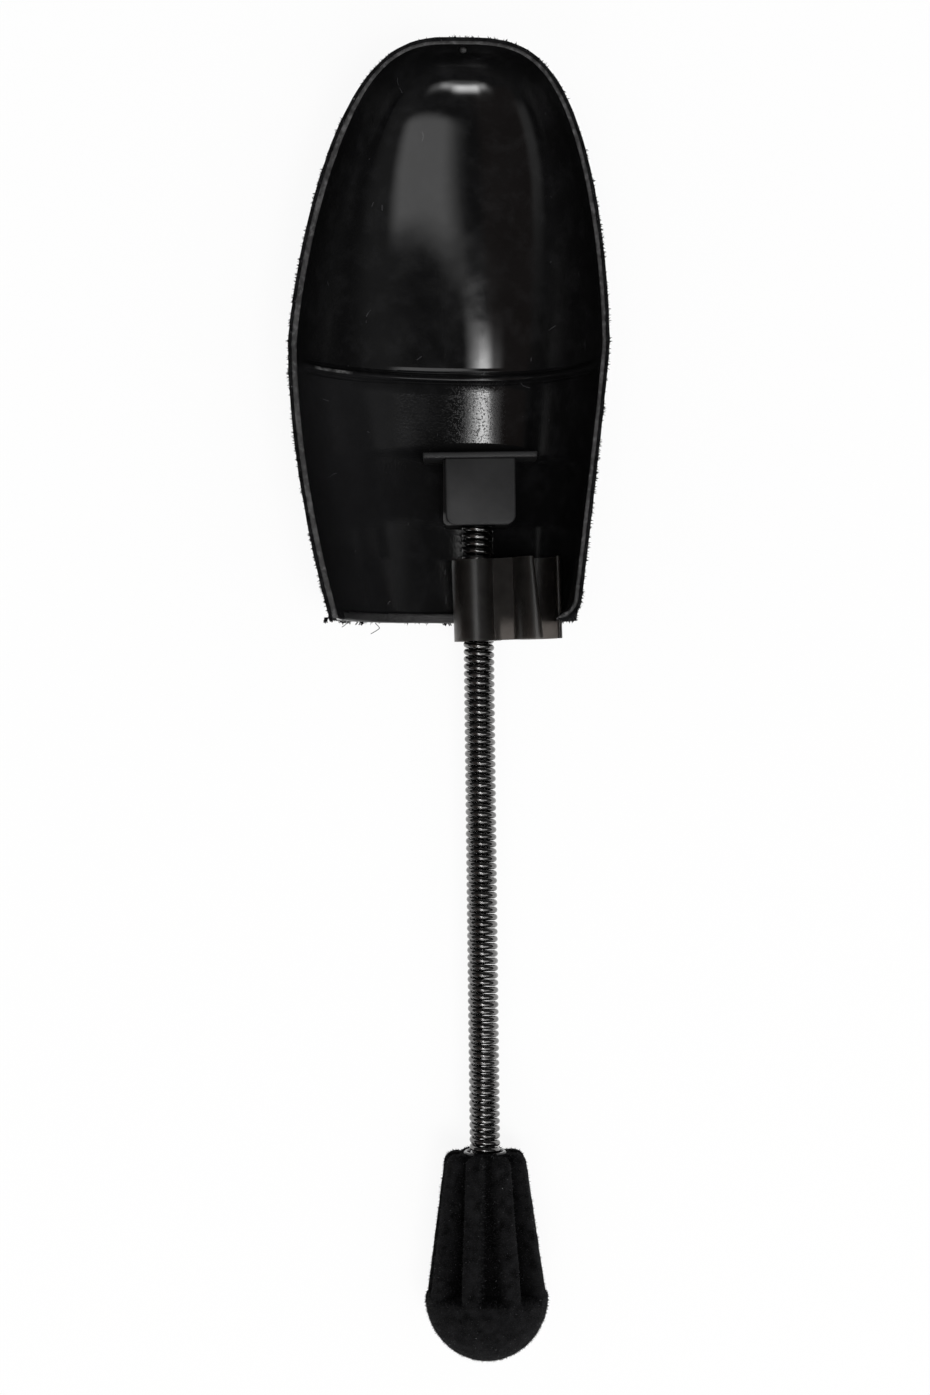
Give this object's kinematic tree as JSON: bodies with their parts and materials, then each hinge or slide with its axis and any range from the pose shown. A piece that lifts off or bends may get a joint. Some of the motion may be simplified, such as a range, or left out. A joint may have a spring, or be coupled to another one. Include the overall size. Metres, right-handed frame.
{
  "type": "spring shoe tree",
  "caption": "Spring shoe tree: a velvet-flocked toe shell open towards the sole, a coil spring to a finned round heel knob, and a clip on the spring for the other tree of the pair.",
  "frame": {"origin": "on the table under the middle of the tree, which lies on its back as in the picture", "axes": "+X across the tree, +Y along it from the heel knob to the toe, +Z out of the open sole side"},
  "size_m": [0.0805, 0.3376, 0.042],
  "materials": {
    "shell_plastic": "black moulded plastic, glossy at the toe and satin behind the ridge",
    "velvet": "black flocked velvet",
    "holder_plastic": "dark grey satin plastic",
    "spring_steel": "steel wire with a glossy black coat",
    "smoked_plastic": "smoky brown-black plastic"
  },
  "bodies": {
    "toe": {"toe_shell": "shell_plastic", "toe_velvet": "velvet", "spring_holder": "holder_plastic"},
    "spring": {"spring": "spring_steel"},
    "heel": {"heel_knob": "shell_plastic", "heel_velvet": "velvet"},
    "clip": {"pair_clip": "smoked_plastic"}
  },
  "joints": [
    {"name": "spring_bend", "type": "hinge", "parent": "toe", "child": "spring", "pos_m": [0.008, -0.0153, 0.016], "axis": [-0.9999, -0.0122, 0], "range_deg": [0, 50], "stiffness_Nm_per_rad": 0.05, "deforming": ["spring"]},
    {"name": "spring_sway", "type": "hinge", "parent": "spring", "child": "heel", "pos_m": [0.00882, -0.0818, 0.016], "axis": [0, 0, 1], "range_deg": [-40, 40], "stiffness_Nm_per_rad": 0.05, "deforming": ["spring"]},
    {"name": "clip_turn", "type": "hinge", "parent": "toe", "child": "clip", "pos_m": [0.00705, 0.0296, 0.016], "axis": [0.0419, -0.9991, 0], "range_deg": [0, 180]}
  ]
}
